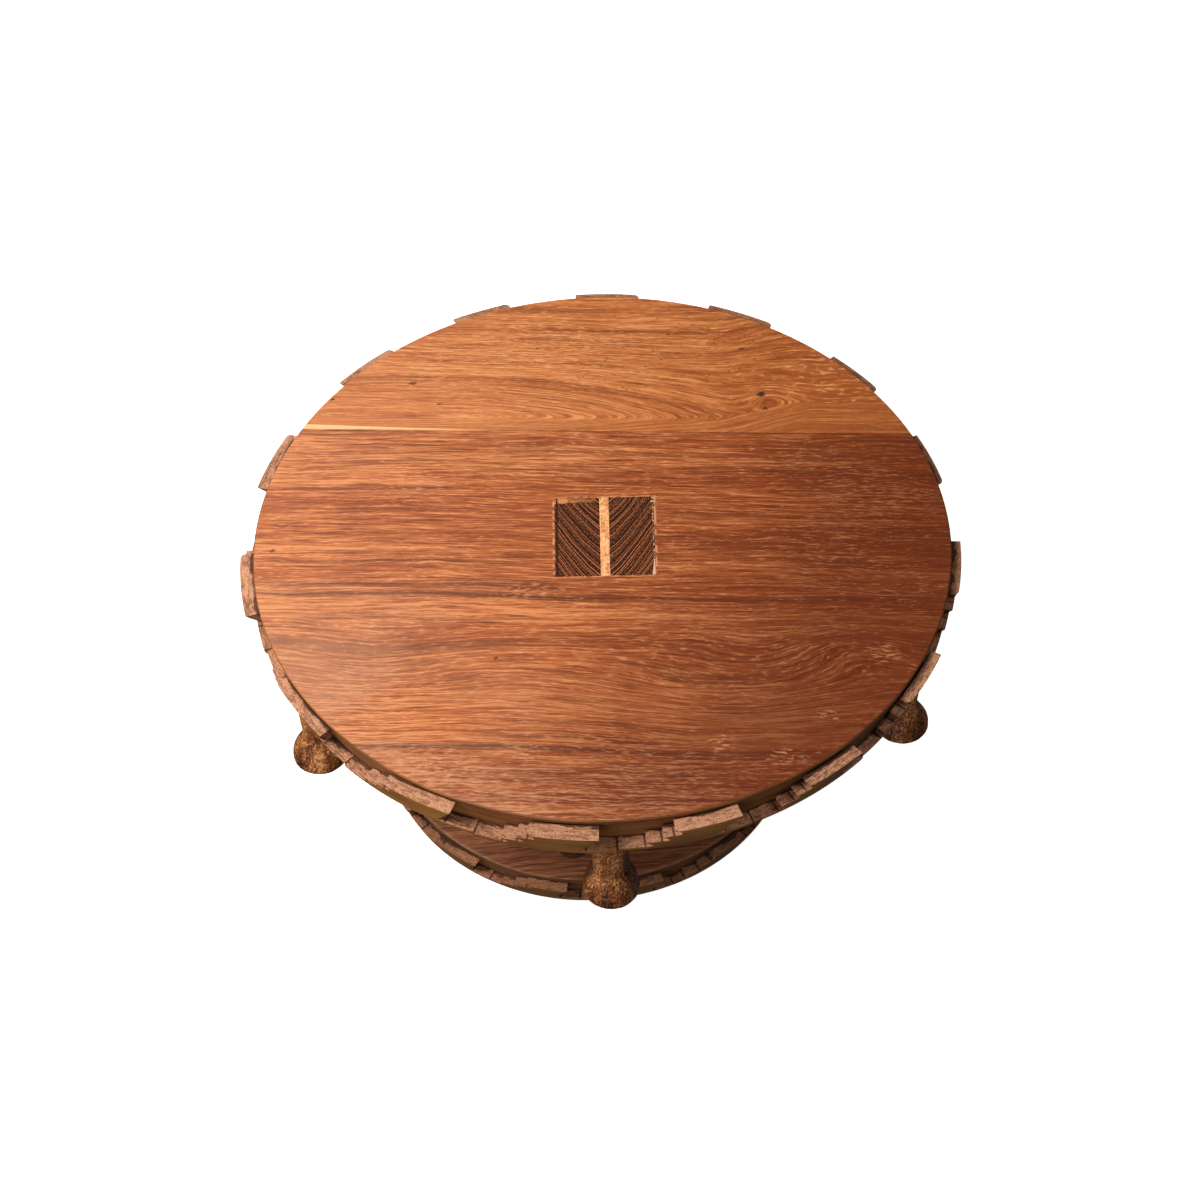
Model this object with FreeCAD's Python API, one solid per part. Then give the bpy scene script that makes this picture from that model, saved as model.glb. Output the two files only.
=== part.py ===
"""Drinks table: a round top on a square post and a smaller round base.

Millimetres.  +Z is up, z = 0 is the floor, and the Z axis runs through the
middle of the top.  Angles are counted anticlockwise from +X, seen from above;
the side seen in the photo faces -Y.
"""
import FreeCAD
import Part
import math
import os

# Heights, from the floor up
overall_height = 300.0
foot_height = 23.0
base_thickness = 30.0
top_thickness = 40.0

# Round top, glued up from two boards
top_radius = 300.0
top_edge_chamfer = 1.5
top_joint_share = 0.417
grain_angle = -2.55

# Lean of both round edges, inward towards the underside
edge_lean = 16.5

# Round base, glued up from two boards and set a little to one side
base_radius = 187.5
base_edge_chamfer = 1.2
base_joint_share = 0.443
base_offset_x = -16.0

# Dowels across the board joints, spaced by a share of the radius
dowel_diameter = 10.0
top_dowel_length = 60.0
dowel_clearance = 8.0
top_dowel_share = 0.43
base_dowel_share = 0.6

# Stepped rim pieces of the top, cut by hand: lengths along the outer edge, and thicknesses.
# The lengths are scaled so that the pieces close the ring.
top_rim_start_angle = 1.1
top_rim_lengths = [133, 123, 135, 127, 118, 133, 147, 150, 148, 133, 120, 116, 116, 126, 130]
top_rim_thicknesses = [7, 9, 11.5, 11, 12, 11, 11.5, 12, 10.5, 12.5, 14, 12.5, 11.5, 10, 9.5]
top_rim_low = 6.1
top_rim_riser = 9.3

# Stepped rim pieces of the base, all of one length
base_rim_thickness = 10.0
base_rim_start_angle = 9.6
base_rim_count = 14
base_rim_low = 4.9
base_rim_riser = 6.4

# One stepped piece, anticlockwise, as shares of its length: low part, first step, second step, high block
top_rim_shares = [0.205, 0.115, 0.08, 0.48]
base_rim_shares = [0.145, 0.16, 0.14, 0.43]
undercut_angle = 31.0

# Post with a wedged through tenon at each end, set a little to one side
post_offset_x = 2.5
post_width = 112.0
post_chamfer = 8.0
tenon_width_x = 86.0
tenon_width_y = 90.0
wedge_wide = 8.0
wedge_narrow = 3.0
wedge_depth = 45.0

# Turned pendants under the top, spaced and sized by eye round the edge:
# a neck that thins to a waist, then a bell with a rounded lower edge
pendant_angles = [31.0, 91.0, 151.0, 210.0, 270.2, 333.9]
pendant_bell_diameters = [46.0, 47.0, 47.0, 48.5, 47.5, 46.5]
pendant_edge_inset = 5.4
pendant_length = 81.5
pendant_neck_diameter = 33.0
pendant_waist_diameter = 29.5
pendant_waist_depth = 42.0
pendant_bell_depth = 70.5
pendant_flare_share = 0.70
pendant_lower_round = 5.0
pendant_tenon_diameter = 8.0
pendant_tenon_length = 16.0

# Turned feet under the base
foot_count = 6
foot_start_angle = 24.0
foot_edge_inset = 27.6
foot_diameter = 42.0
foot_sole_diameter = 34.0
foot_tenon_diameter = 27.5
foot_sole_round = 3.0

base_bottom = foot_height
base_top = base_bottom + base_thickness
top_surface = overall_height
top_bottom = top_surface - top_thickness

up = FreeCAD.Vector(0, 0, 1)
floor_centre = FreeCAD.Vector(0, 0, 0)


def turned(outline):
    """Solid turned about Z from a list of (radius, height) points."""
    points = [FreeCAD.Vector(radius, 0, height) for radius, height in outline]
    face = Part.Face(Part.makePolygon(points + points[:1]))
    return face.revolve(floor_centre, up, 360)


def round_on_circle(circle_radius, angle):
    """Place on a circle about Z, at an angle in degrees."""
    turn = math.radians(angle)
    return FreeCAD.Vector(circle_radius * math.cos(turn), circle_radius * math.sin(turn), 0)


def edge_radius(radius, depth):
    """Radius of a leaning edge at a depth below the upper surface."""
    return radius - depth * math.tan(math.radians(edge_lean))


pendant_circle_radius = edge_radius(top_radius, top_thickness) - pendant_edge_inset
foot_circle_radius = edge_radius(base_radius, base_thickness) - foot_edge_inset
top_joint_offset = top_joint_share * top_radius
base_joint_offset = base_joint_share * base_radius
base_dowel_length = 2 * (base_joint_offset - tenon_width_y / 2 - dowel_clearance)


def disc(radius, bottom, top, chamfer):
    """Round slab about Z with a leaning edge, chamfered a little at the top."""
    return turned([
        (0, bottom),
        (edge_radius(radius, top - bottom), bottom),
        (edge_radius(radius, chamfer), top - chamfer),
        (radius - chamfer, top),
        (0, top),
    ])


def half_of(slab, joint_offset, in_front):
    """The part of a slab on one side of its glued board joint."""
    reach = 2.5 * top_radius
    keeper = Part.makeBox(2 * reach, reach, 2 * reach)
    start = joint_offset - reach if in_front else joint_offset
    keeper.translate(FreeCAD.Vector(-reach, start, -reach))
    keeper.rotate(floor_centre, up, grain_angle)
    return slab.common(keeper)


def dowel_row(count, spacing, length, joint_offset, height):
    """Row of dowels set across a board joint."""
    row = []
    for number in range(count):
        along = (number - (count - 1) / 2) * spacing
        near_end = FreeCAD.Vector(along, joint_offset - length / 2, height)
        dowel = Part.makeCylinder(dowel_diameter / 2, length, near_end, FreeCAD.Vector(0, 1, 0))
        dowel.rotate(floor_centre, up, grain_angle)
        row.append(dowel)
    return row


def tenon_block(bottom, top):
    """Square tenon of the post between two heights."""
    corner = FreeCAD.Vector(post_offset_x - tenon_width_x / 2, -tenon_width_y / 2, bottom)
    return Part.makeBox(tenon_width_x, tenon_width_y, top - bottom, corner)


def wedge_from(wide_end, inward):
    """Wedge across a tenon, its wide end flush and its thin end driven in."""
    thin_end = wide_end + inward * wedge_depth
    outline = [
        (-wedge_wide / 2, wide_end),
        (wedge_wide / 2, wide_end),
        (wedge_narrow / 2, thin_end),
        (-wedge_narrow / 2, thin_end),
    ]
    points = [FreeCAD.Vector(post_offset_x + x, -tenon_width_y / 2, z) for x, z in outline]
    face = Part.Face(Part.makePolygon(points + points[:1]))
    return face.extrude(FreeCAD.Vector(0, tenon_width_y, 0))


def rim_cutter(radius, angle, outline):
    """Prism that cuts a rim piece, drawn at one angle as (along, height) points."""
    near = 0.8 * radius
    points = [FreeCAD.Vector(near, along, height) for along, height in outline]
    face = Part.Face(Part.makePolygon(points + points[:1]))
    cutter = face.extrude(FreeCAD.Vector(0.4 * radius, 0, 0))
    cutter.rotate(floor_centre, up, angle)
    return cutter


def rim_piece(radius, slab, thickness, start, span, shares, low, riser):
    """One stepped rim piece: three steps up, a long high block, an undercut drop."""
    foot_radius = edge_radius(radius, slab)
    high = low + 3 * riser
    high_radius = edge_radius(radius, slab - high)
    lean = math.tan(math.radians(undercut_angle))
    reach = (radius + thickness) * math.radians(span)
    above = high + riser

    corners = [
        (foot_radius, 0),
        (foot_radius + thickness, 0),
        (high_radius + thickness, high),
        (high_radius, high),
    ]
    points = [FreeCAD.Vector(x, 0, z) for x, z in corners]
    face = Part.Face(Part.makePolygon(points + points[:1]))
    piece = face.revolve(floor_centre, up, span)
    piece.rotate(floor_centre, up, start)

    step_starts = [sum(shares[:count]) for count in (1, 2, 3)]
    for number, share in enumerate(step_starts):
        tread = low + number * riser
        step_top = tread + riser
        piece = piece.cut(rim_cutter(radius, start + share * span, [
            (lean * riser, tread),
            (-reach, tread),
            (-reach, above),
            (-lean * (above - step_top), above),
        ]))

    piece = piece.cut(rim_cutter(radius, start + sum(shares) * span, [
        (-lean * (high - low), low),
        (reach, low),
        (reach, above),
        (lean * (above - high), above),
    ]))
    return piece


def rim(radius, slab, thicknesses, start_angle, lengths, shares, low, riser, bottom, shift):
    """All the pieces of one stepped rim, in order round the edge."""
    pieces = []
    angle = start_angle
    for length, thickness in zip(lengths, thicknesses):
        span = 360.0 * length / sum(lengths)
        piece = rim_piece(radius, slab, thickness, angle, span, shares, low, riser)
        piece.translate(FreeCAD.Vector(shift, 0, bottom))
        pieces.append(piece)
        angle += span
    return pieces


def pendant(bell_diameter):
    """Turned pendant hanging from z = 0, with its round tenon above."""
    waist = pendant_waist_diameter / 2
    bell = bell_diameter / 2
    flare = waist + (bell - waist) * pendant_flare_share
    flare_depth = (pendant_waist_depth + pendant_bell_depth) / 2
    crown = pendant_length - pendant_bell_depth
    crown_radius = (bell ** 2 + crown ** 2) / (2 * crown)
    half_turn = math.asin(bell / crown_radius) / 2
    top_point = FreeCAD.Vector(0, 0, 0)
    neck_point = FreeCAD.Vector(pendant_neck_diameter / 2, 0, 0)
    waist_point = FreeCAD.Vector(waist, 0, -pendant_waist_depth)
    flare_point = FreeCAD.Vector(flare, 0, -flare_depth)
    widest_point = FreeCAD.Vector(bell, 0, -pendant_bell_depth)
    crown_point = FreeCAD.Vector(crown_radius * math.sin(half_turn), 0,
                                 crown_radius * (1 - math.cos(half_turn)) - pendant_length)
    lowest_point = FreeCAD.Vector(0, 0, -pendant_length)
    edges = [
        Part.makeLine(top_point, neck_point),
        Part.makeLine(neck_point, waist_point),
        Part.Arc(waist_point, flare_point, widest_point).toShape(),
        Part.Arc(widest_point, crown_point, lowest_point).toShape(),
        Part.makeLine(lowest_point, top_point),
    ]
    body = Part.Face(Part.Wire(edges)).revolve(floor_centre, up, 360)
    lower_edges = [edge for edge in body.Edges
                   if edge.BoundBox.ZLength < 0.01 and abs(edge.BoundBox.ZMin + pendant_bell_depth) < 0.01]
    body = body.makeFillet(pendant_lower_round, lower_edges)
    tenon = Part.makeCylinder(pendant_tenon_diameter / 2, pendant_tenon_length)
    return body.fuse(tenon).removeSplitter()


def foot():
    """Turned foot standing on z = 0, with its round through tenon above."""
    sole = foot_sole_diameter / 2
    outer = foot_diameter / 2
    tenon = foot_tenon_diameter / 2
    return turned([
        (0, 0),
        (sole - foot_sole_round, 0),
        (sole, foot_sole_round),
        (outer, foot_height),
        (tenon, foot_height),
        (tenon, base_top),
        (0, base_top),
    ])


base_shift = FreeCAD.Vector(base_offset_x, 0, 0)
foot_angles = [foot_start_angle + 360.0 / foot_count * number for number in range(foot_count)]

top_dowels = dowel_row(4, top_dowel_share * top_radius, top_dowel_length,
                       top_joint_offset, top_bottom + top_thickness / 2)
base_dowels = dowel_row(2, base_dowel_share * base_radius, base_dowel_length,
                        base_joint_offset, base_bottom + base_thickness / 2)
for base_dowel in base_dowels:
    base_dowel.translate(base_shift)

pendants = []
for pendant_angle, bell_diameter in zip(pendant_angles, pendant_bell_diameters):
    hanging = pendant(bell_diameter)
    hanging.translate(round_on_circle(pendant_circle_radius, pendant_angle) + up * top_bottom)
    pendants.append(hanging)

feet = []
for foot_angle in foot_angles:
    standing = foot()
    standing.translate(round_on_circle(foot_circle_radius, foot_angle) + base_shift)
    feet.append(standing)

top_wedge = wedge_from(top_surface, -1)
base_wedge = wedge_from(base_bottom, 1)

post = Part.makeBox(post_width, post_width, top_bottom - base_top,
                    FreeCAD.Vector(post_offset_x - post_width / 2, -post_width / 2, base_top))
long_edges = [edge for edge in post.Edges if abs(edge.tangentAt(edge.FirstParameter).z) > 0.9]
post = post.makeChamfer(post_chamfer, long_edges)
post = post.fuse([tenon_block(base_bottom, base_top), tenon_block(top_bottom, top_surface)])
post = post.removeSplitter().cut(top_wedge).cut(base_wedge)

top_slab = disc(top_radius, top_bottom, top_surface, top_edge_chamfer)
top_slab = top_slab.cut([tenon_block(top_bottom, top_surface)] + pendants)
base_slab = disc(base_radius, base_bottom, base_top, base_edge_chamfer)
base_slab.translate(base_shift)
base_slab = base_slab.cut([tenon_block(base_bottom, base_top)] + feet)

nodes = {
    "top_board_front": half_of(top_slab, top_joint_offset, True).cut(top_dowels),
    "top_board_back": half_of(top_slab, top_joint_offset, False).cut(top_dowels),
    "top_board_dowels": Part.makeCompound(top_dowels),
    "base_board_front": half_of(base_slab, base_joint_offset, True).cut(base_dowels),
    "base_board_back": half_of(base_slab, base_joint_offset, False).cut(base_dowels),
    "base_board_dowels": Part.makeCompound(base_dowels),
    "post": post,
    "top_wedge": top_wedge,
    "base_wedge": base_wedge,
}

top_rim = rim(top_radius, top_thickness, top_rim_thicknesses, top_rim_start_angle, top_rim_lengths,
              top_rim_shares, top_rim_low, top_rim_riser, top_bottom, 0)
base_rim = rim(base_radius, base_thickness, [base_rim_thickness] * base_rim_count, base_rim_start_angle,
               [1] * base_rim_count, base_rim_shares, base_rim_low, base_rim_riser, base_bottom, base_offset_x)

for group_name, pieces in [
    ("top_rim_segment", top_rim),
    ("base_rim_segment", base_rim),
    ("pendant", pendants),
    ("foot", feet),
]:
    for number, shape in enumerate(pieces, 1):
        nodes["%s_%02d" % (group_name, number)] = shape

os.makedirs("parts", exist_ok=True)
for name, shape in nodes.items():
    shape.exportStep("parts/%s.step" % name)
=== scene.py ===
import math
import random

import bmesh
import bpy
from bpy.props import FloatProperty, FloatVectorProperty, PointerProperty
from bpy.types import Operator, Panel, PropertyGroup
from mathutils import Matrix, Vector


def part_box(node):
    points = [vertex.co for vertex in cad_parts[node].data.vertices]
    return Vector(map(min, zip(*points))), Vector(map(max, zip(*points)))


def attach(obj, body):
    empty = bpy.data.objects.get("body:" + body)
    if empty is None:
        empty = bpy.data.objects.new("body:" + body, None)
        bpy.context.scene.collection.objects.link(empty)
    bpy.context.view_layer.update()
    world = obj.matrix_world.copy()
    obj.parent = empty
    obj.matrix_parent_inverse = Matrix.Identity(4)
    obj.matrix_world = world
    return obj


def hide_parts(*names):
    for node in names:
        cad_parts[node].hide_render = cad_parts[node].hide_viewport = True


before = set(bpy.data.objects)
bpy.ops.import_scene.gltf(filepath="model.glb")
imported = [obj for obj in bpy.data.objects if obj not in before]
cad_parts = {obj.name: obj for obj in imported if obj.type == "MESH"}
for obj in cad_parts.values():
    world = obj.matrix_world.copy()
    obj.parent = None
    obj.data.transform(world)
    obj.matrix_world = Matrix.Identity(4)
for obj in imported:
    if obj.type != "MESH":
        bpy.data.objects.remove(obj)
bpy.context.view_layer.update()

bl_info = {
    "name": "Drinks table",
    "version": (1, 0, 0),
    "blender": (4, 5, 0),
    "location": "View3D > Sidebar > Drinks table",
    "description": "Finishes a low round drinks table with a stepped rim and hanging pendants",
    "category": "Object",
}

# Shares in the solids: the joint's place in the top's radius, and the tenon's width and depth in the post's.
joint_share = 0.417
tenon_width_share = 43 / 56
tenon_depth_share = 45 / 56

# Places and sizes taken from the solids, and the lean and undercuts of the rims.
top_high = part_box("top_board_front")[1]
top_surface = top_high.z
top_radius = top_high.x
top_joint = joint_share * top_radius
base_low, base_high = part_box("base_board_front")
base_middle = (base_low.x + base_high.x) / 2
base_radius = (base_high.x - base_low.x) / 2
base_surface = base_high.z
post_low, post_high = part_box("post")
post_middle = (post_low.x + post_high.x) / 2
tenon_half_width = (post_high.x - post_low.x) / 2 * tenon_width_share
tenon_half_depth = post_high.y * tenon_depth_share
edge_lean = math.radians(16.5)
top_undercut = 0.0056
base_undercut = 0.0038

# What each point of a rim piece stores: its gap to an end, the piece's painted shade and its gap to a step.
rim_marks = ("end_gap", "shade", "crease")

# How copies of the solids are joined, rounded and smoothed.
merge_distance = 0.00002
flat_angle = math.radians(0.5)
sharp_angle = math.radians(28)
smooth_angle = math.radians(10)
turned_smooth_angle = math.radians(25)
board_round = 0.0005
round_segments = 2

# What several finishes share, and the size of the floor.
wood_sheen = 0.25
grain_depth = 0.00016
upwards = (0.0, 0.0, 1.0)
floor_size = 120


def linear(red, green, blue):
    """Turn a screen colour, from 0 to 255, into the linear values that shaders use."""
    shares = [part / 255 for part in (red, green, blue)]
    return tuple(((share + 0.055) / 1.055) ** 2.4 if share > 0.04 else share / 12.92 for share in shares)


def colour(name, description, red, green, blue):
    """A colour property with its default given as a screen colour."""
    return FloatVectorProperty(
        name=name,
        description=description,
        subtype="COLOR",
        size=3,
        min=0,
        max=1,
        default=linear(red, green, blue),
    )


def length(name, description, default):
    """A length property in metres."""
    return FloatProperty(name=name, description=description, unit="LENGTH", default=default, precision=4)


def angle(name, description, degrees):
    """An angle property with its default given in degrees."""
    return FloatProperty(name=name, description=description, unit="ROTATION", default=math.radians(degrees))


def watts(name, description, default):
    """A light's power property."""
    return FloatProperty(name=name, description=description, unit="POWER", default=default)


def amount(name, description, default):
    """A plain number property."""
    return FloatProperty(name=name, description=description, default=default)


class FrontBoardLook(PropertyGroup):
    light: colour("Light wood", "Palest bands of the wide front board", 208, 130, 76)
    middle: colour("Middle wood", "Main colour of the wide front board", 166, 86, 40)
    dark: colour("Dark wood", "Darkest bands of the wide front board", 128, 58, 20)
    line: colour("Dark fibres", "Thin dark fibres and lines", 82, 36, 14)
    pale: colour("Limed pores", "Pale filling of the open pores", 214, 148, 100)
    # Partly painted shade: darker red wood, and shade towards the right front edge.
    deep_red_and_shade: colour("Deep red wood", "Stained wood towards the right front edge", 88, 31, 8)
    dust: colour("Dust", "Pale dust worn into the front edge", 186, 138, 106)
    wall_light: colour("Light edge", "Light streaks of the round edge", 142, 90, 46)
    wall_dark: colour("Dark edge", "Dark streaks of the round edge", 106, 58, 25)
    grain_turn: angle("Grain turn", "Turn of the grain from the table's width", -2.55)


class BackBoardLook(PropertyGroup):
    light: colour("Light wood", "Palest bands of the narrow back board", 214, 140, 82)
    middle: colour("Middle wood", "Main colour of the narrow back board", 188, 108, 54)
    dark: colour("Dark wood", "Darkest bands of the narrow back board", 156, 80, 34)
    line: colour("Dark fibres", "Thin dark fibres and lines", 100, 48, 20)
    pale: colour("Limed pores", "Pale filling of the open pores", 228, 164, 108)
    sapwood: colour("Sapwood", "Pale sliver of sapwood at the joint", 246, 184, 122)
    pit: colour("Pits", "Small knots and pits in the back board", 46, 24, 12)
    wall_light: colour("Light edge", "Light streaks of the round edge", 142, 90, 46)
    wall_dark: colour("Dark edge", "Dark streaks of the round edge", 106, 58, 25)
    grain_turn: angle("Grain turn", "Turn of the grain from the table's width", -2.55)


class BaseBoardLook(PropertyGroup):
    light: colour("Light wood", "Palest bands of the lower boards", 176, 112, 76)
    middle: colour("Middle wood", "Main colour of the lower boards", 142, 86, 57)
    dark: colour("Dark wood", "Darkest bands of the lower boards", 102, 57, 38)
    line: colour("Dark fibres", "Thin dark fibres and lines", 52, 27, 18)
    pale: colour("Limed pores", "Pale filling of the open pores", 168, 120, 90)
    wall_light: colour("Light edge", "Light streaks of the round edge", 128, 84, 50)
    wall_dark: colour("Dark edge", "Dark streaks of the round edge", 88, 52, 30)
    grain_turn: angle("Grain turn", "Turn of the grain from the table's width", 2.0)


class RimLook(PropertyGroup):
    sawn_light: colour("Sawn light", "Light fibres of the sawn upper faces", 204, 146, 110)
    sawn_dark: colour("Sawn dark", "Dark fibres of the sawn upper faces", 114, 69, 44)
    # Painted shade, partly darker wood: the sawn colour that shaded pieces turn towards.
    shaded: colour("Shaded", "Sawn faces of the darker pieces", 140, 84, 46)
    outer_light: colour("Outer light", "Light streaks of the planed outer faces", 174, 114, 52)
    outer_dark: colour("Outer dark", "Dark streaks of the planed outer faces", 116, 72, 29)
    # Also the dark colour of the rim's painted shade: along the wall, under the steps and on the shaded
    # pieces.
    glue_and_shade: colour("Glue line", "Dark line where two rim pieces meet", 40, 22, 14)
    edge_round: length("Edge rounding", "Rounding of the sawn edges", 0.0006)
    corner_round: length("Corner rounding", "Rounding of the corner where the high block begins", 0.0045)
    gap: length("Gap", "Widest gap left between a rim piece and the board", 0.00005)
    lean: angle("Lean", "Most that a rim piece leans away from the board", 2.4)
    swing: angle("Swing", "Most that a rim piece is swung round at one end", 0.12)


class PostLook(PropertyGroup):
    heart: colour("Heartwood", "Dark wood of the post and its end grain", 36, 15, 7)
    ring: colour("Rings", "Lighter rings of the end grain", 176, 98, 52)
    side: colour("Side wood", "Wood of the post's long faces", 142, 84, 52)
    shim: colour("Shim", "Thin shim at the far edge of the tenon", 206, 128, 70)
    crumb: colour("Filler", "Pale crumbs of filler round the tenon", 226, 186, 146)
    ring_width: length("Ring width", "Width of a growth ring in the end grain", 0.0024)
    edge_round: length("Edge rounding", "Rounding of the post's edges", 0.0007)


class WedgeLook(PropertyGroup):
    light: colour("Light wood", "Pale wood of the wedges", 252, 184, 124)
    dark: colour("Dark wood", "Darker streaks of the wedges", 190, 112, 62)
    dowel: colour("Dowel wood", "Wood of the hidden dowels", 206, 160, 112)


class PendantLook(PropertyGroup):
    gold: colour("Golden flecks", "Light flecks of the pendants", 208, 144, 90)
    brown: colour("Brown", "Main colour of the pendants", 124, 69, 32)
    dark: colour("Dark", "Dark hollows between the flecks", 34, 15, 6)
    roughness: length("Tool marks", "Depth of the marks that shaping left", 0.0012)
    foot_brown: colour("Foot brown", "Main colour of the feet", 118, 72, 44)
    foot_end: colour("Foot end grain", "End grain of the tenons of the feet", 98, 56, 33)
    foot_arc: colour("Foot pale wood", "Pale arc in the tenons of the feet", 170, 122, 84)


class StageLook(PropertyGroup):
    distance: length("Distance", "Camera distance from the middle of the table top", 2.2446)
    elevation: angle("Elevation", "Camera height above the table top, as an angle", 48.33)
    turn: angle("Turn", "Camera turn away from the middle of the table top", -0.0723)
    tilt: angle("Tilt", "Camera tilt away from the middle of the table top", -1.399)
    roll: angle("Roll", "Camera roll", -1.363)
    lens: FloatProperty(
        name="Lens", description="Focal length on a 36 mm sensor", unit="CAMERA", default=78.3
    )
    key_power: watts("Key light", "Power of the high light at the left", 29)
    back_power: watts("Back light", "Power of the light behind", 8)
    fill_power: watts("Fill light", "Power of the low front light", 11)
    side_power: watts("Side light", "Power of the high light at the right", 4.5)
    floor: colour("Floor", "Pale floor", 246, 245, 243)
    floor_glow: amount("Floor glow", "Even light of the floor, as from a lit backdrop", 0.95)
    sky: amount("Sky", "Even light from all around", 0.08)


class Value:
    """One output of a shader node that Python arithmetic can combine."""

    def __init__(self, finish, socket):
        self.finish = finish
        self.socket = socket

    def maths(self, operation, first, second):
        return self.finish.node("Math", {"operation": operation}, {0: first, 1: second})

    def __add__(self, other):
        return self.maths("ADD", self, other)

    def __radd__(self, other):
        return self.maths("ADD", other, self)

    def __sub__(self, other):
        return self.maths("SUBTRACT", self, other)

    def __rsub__(self, other):
        return self.maths("SUBTRACT", other, self)

    def __mul__(self, other):
        return self.maths("MULTIPLY", self, other)

    def __rmul__(self, other):
        return self.maths("MULTIPLY", other, self)

    def __truediv__(self, other):
        return self.maths("DIVIDE", self, other)


class Finish:
    """A wood finish while it is made: its material, its shader and the nodes that feed it."""

    def __init__(self, name):
        self.material = bpy.data.materials.new(name)
        self.material.use_nodes = True
        self.tree = self.material.node_tree
        self.shader = self.tree.nodes["Principled BSDF"]

    def feed(self, socket, value):
        """Link a value to a socket, or set the socket to a number or colour."""
        if isinstance(value, Value):
            self.tree.links.new(value.socket, socket)
        elif socket.type == "RGBA":
            socket.default_value = (*value[:3], 1.0)
        else:
            socket.default_value = value

    def node(self, kind, settings=None, sockets=None, output=0):
        """Add a node of a kind, with its settings and then its sockets, and give one of its outputs."""
        node = self.tree.nodes.new("ShaderNode" + kind)
        for name, setting in (settings or {}).items():
            setattr(node, name, setting)
        for name, value in (sockets or {}).items():
            self.feed(node.inputs[name], value)
        return Value(self, node.outputs[output])

    def place(self):
        """The three Object coordinates of the surface, in metres."""
        spot = self.node("TexCoord", output="Object")
        return [self.node("SeparateXYZ", sockets={0: spot}, output=axis) for axis in "XYZ"]

    def vector(self, x, y, z):
        """A vector from three values."""
        return self.node("CombineXYZ", sockets={0: x, 1: y, 2: z})

    def noise(self, x, y, z, detail=2.0, roughness=0.5):
        """Noise from 0 to 1 at a place in space."""
        spot = self.vector(x, y, z)
        sockets = {"Vector": spot, "Scale": 1.0, "Detail": detail, "Roughness": roughness}
        return self.node("TexNoise", {"noise_dimensions": "3D"}, sockets)

    def noise_along(self, distance, detail=2.0, roughness=0.5):
        """Noise from 0 to 1 that changes with one value only."""
        sockets = {"W": distance, "Scale": 1.0, "Detail": detail, "Roughness": roughness}
        return self.node("TexNoise", {"noise_dimensions": "1D"}, sockets)

    def rise(self, value, start, end):
        """A smooth rise from 0 to 1 between two values."""
        sockets = {"Value": value, "From Min": start, "From Max": end}
        return self.node("MapRange", {"interpolation_type": "SMOOTHSTEP"}, sockets)

    def mix(self, share, first, second):
        """Mix two colours."""
        return self.node("Mix", {"data_type": "RGBA"}, {0: share, 6: first, 7: second}, 2)

    def root(self, value):
        """Square root."""
        return self.node("Math", {"operation": "SQRT"}, {0: value})

    def size(self, value):
        """A value without its sign."""
        return self.node("Math", {"operation": "ABSOLUTE"}, {0: value})

    def facing(self, direction):
        """How far the surface faces a direction, from -1 to 1."""
        normal = self.node("NewGeometry", output="Normal")
        return self.node("VectorMath", {"operation": "DOT_PRODUCT"}, {0: normal, 1: direction}, "Value")

    def fade(self, square):
        """A smooth fall from 1 where a square is 0."""
        return self.node("Math", {"operation": "EXPONENT"}, {0: square * -1.0})

    def oval(self, x, y, middle, radii):
        """The square of the distance from an oval's middle, 1 at its edge."""
        across = (x - middle[0]) / radii[0]
        along = (y - middle[1]) / radii[1]
        return across * across + along * along

    def hill(self, x, y, middle, reach):
        """A smooth hill, 1 at its middle."""
        return self.fade(self.oval(x, y, middle, reach))

    def spot(self, x, y, middle, radii, soft=0.4):
        """A soft oval spot, 1 at its middle and 0 outside."""
        return self.rise(self.root(self.oval(x, y, middle, radii)), 1.0, 1.0 - soft)

    def shade(self, name, value):
        """Feed one of the shader's own sockets."""
        self.feed(self.shader.inputs[name], value)

    def surface(self, colour, roughness, height, depth):
        """Feed the shader: its colour, its roughness and a bump of a depth in metres."""
        sockets = {"Strength": 1.0, "Distance": depth, "Height": height}
        bump = self.node("Bump", sockets=sockets, output="Normal")
        self.shade("Base Color", colour)
        self.shade("Roughness", roughness)
        self.shade("Normal", bump)
        self.shade("Specular IOR Level", wood_sheen)


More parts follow.
